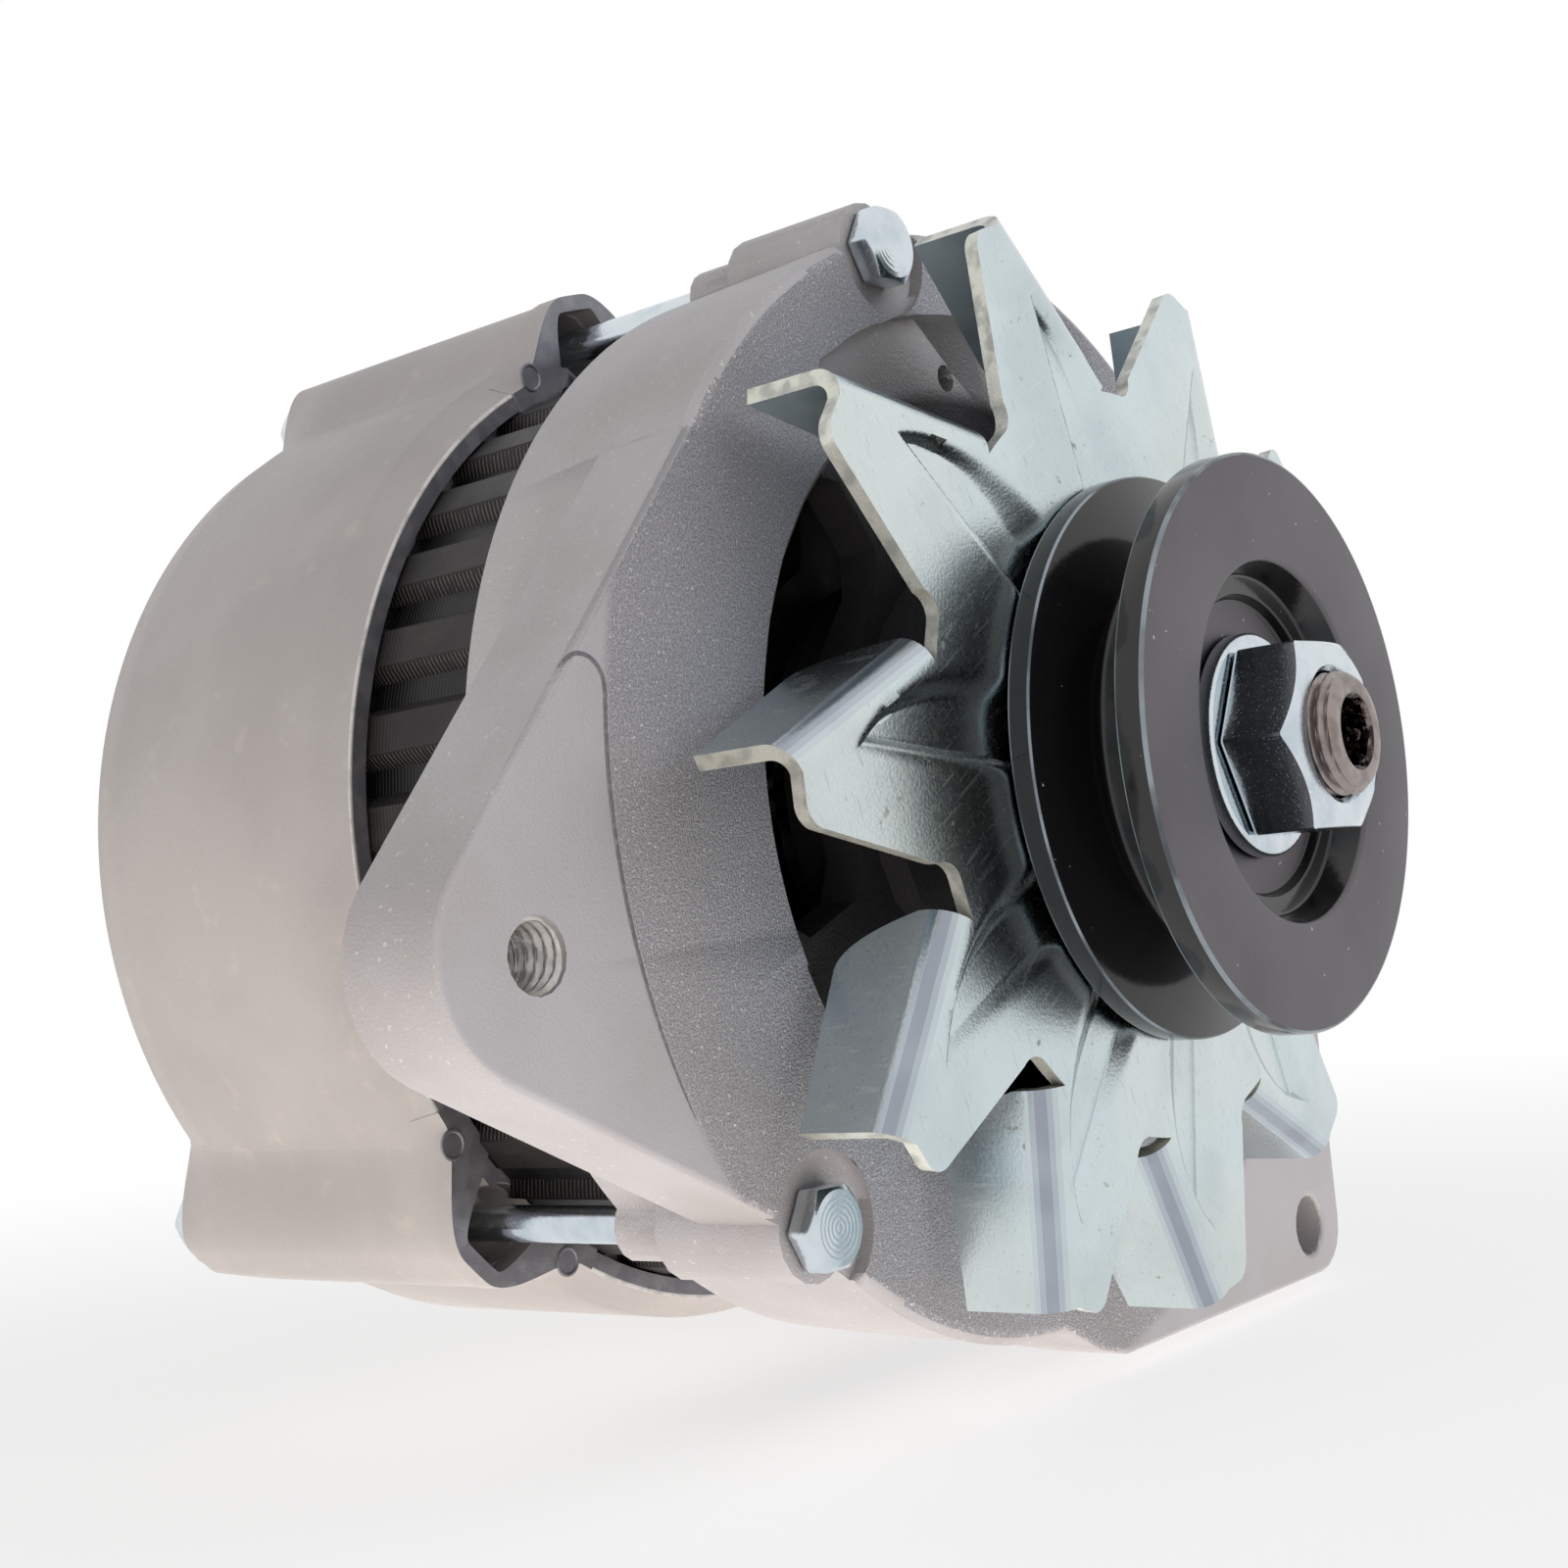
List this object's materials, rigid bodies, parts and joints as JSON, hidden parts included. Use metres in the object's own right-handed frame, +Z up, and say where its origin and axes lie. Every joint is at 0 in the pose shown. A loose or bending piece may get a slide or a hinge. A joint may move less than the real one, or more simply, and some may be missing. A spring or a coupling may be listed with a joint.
{
  "type": "alternator",
  "caption": "Belt-driven engine alternator: V-belt pulley, pressed cooling fan, claw-pole rotor, laminated stator and two cast end brackets with pivot and adjusting lugs.",
  "frame": {"origin": "centre of the pivot hole on the front face of the drive-end bracket's pivot lug", "axes": "+Y runs along the shaft from the pulley to the rear, +Z is up, and +X is to the right seen from the pulley"},
  "size_m": [0.2003, 0.1896, 0.1674],
  "materials": {
    "cast_aluminium": "blasted die casting",
    "zinc_plate": "bright zinc plate",
    "black_steel": "satin black",
    "bare_steel": "ground",
    "laminated_steel": "varnished black",
    "copper_enamel": "enamelled wire",
    "bright_copper": "turned copper",
    "black_plastic": "moulded",
    "pressed_carbon": "pressed carbon"
  },
  "bodies": {
    "housing": {"drive_end_bracket": "cast_aluminium", "slip_ring_end_bracket": "cast_aluminium", "stator_core": "laminated_steel", "stator_winding": "copper_enamel", "front_bearing_outer_race": "bare_steel", "rear_bearing_outer_race": "bare_steel", "bearing_retainer": "zinc_plate", "retainer_screw_1": "zinc_plate", "retainer_screw_2": "zinc_plate", "retainer_screw_3": "zinc_plate", "through_bolt_1": "zinc_plate", "through_bolt_2": "zinc_plate", "through_bolt_3": "zinc_plate", "bolt_nut_1": "zinc_plate", "bolt_nut_2": "zinc_plate", "bolt_nut_3": "zinc_plate", "rectifier_plate_output": "cast_aluminium", "rectifier_plate_earth": "cast_aluminium", "diode_1": "bare_steel", "diode_2": "bare_steel", "diode_3": "bare_steel", "diode_4": "bare_steel", "diode_5": "bare_steel", "diode_6": "bare_steel", "rectifier_spacer_1": "black_plastic", "rectifier_spacer_2": "black_plastic", "rectifier_screw_1": "zinc_plate", "rectifier_screw_2": "zinc_plate", "output_stud": "zinc_plate", "terminal_insulator": "black_plastic", "terminal_nut": "zinc_plate", "voltage_regulator": "black_plastic", "brush_holder": "black_plastic", "brush_spring_1": "bare_steel", "brush_spring_2": "bare_steel"},
    "rotor": {"rotor_shaft": "bare_steel", "shaft_key": "bare_steel", "pulley": "black_steel", "pulley_washer": "zinc_plate", "pulley_nut": "zinc_plate", "cooling_fan": "zinc_plate", "spacer_collar": "bare_steel", "front_bearing_inner_race": "bare_steel", "rear_bearing_inner_race": "bare_steel", "front_claw_pole": "laminated_steel", "rear_claw_pole": "laminated_steel", "rotor_core": "laminated_steel", "coil_bobbin": "black_plastic", "field_coil": "copper_enamel", "slip_ring_sleeve": "black_plastic", "slip_ring_1": "bright_copper", "slip_ring_2": "bright_copper"},
    "front_cage": {"front_bearing_balls": "bare_steel"},
    "rear_cage": {"rear_bearing_balls": "bare_steel"},
    "front_brush": {"brush_1": "pressed_carbon"},
    "rear_brush": {"brush_2": "pressed_carbon"}
  },
  "joints": [
    {"name": "rotor_spin", "type": "hinge", "parent": "housing", "child": "rotor", "pos_m": [-0.0772, 0, 0.0756], "axis": [0, 1, 0], "continuous": true},
    {"name": "front_cage_spin", "type": "hinge", "parent": "housing", "child": "front_cage", "pos_m": [-0.0772, 0, 0.0756], "axis": [0, 1, 0], "continuous": true},
    {"name": "rear_cage_spin", "type": "hinge", "parent": "housing", "child": "rear_cage", "pos_m": [-0.0772, 0, 0.0756], "axis": [0, 1, 0], "continuous": true},
    {"name": "front_brush_slide", "type": "slide", "parent": "housing", "child": "front_brush", "axis": [0, 0, 1], "range_m": [0, 0.006], "stiffness_N_per_m": 60, "springref_m": -0.003, "deforming": ["brush_spring_1"]},
    {"name": "rear_brush_slide", "type": "slide", "parent": "housing", "child": "rear_brush", "axis": [0, 0, 1], "range_m": [0, 0.006], "stiffness_N_per_m": 60, "springref_m": -0.003, "deforming": ["brush_spring_2"]}
  ],
  "couplings": [
    {"joint": "front_cage_spin", "follows": "rotor_spin", "ratio": 0.395},
    {"joint": "rear_cage_spin", "follows": "rotor_spin", "ratio": 0.41}
  ]
}
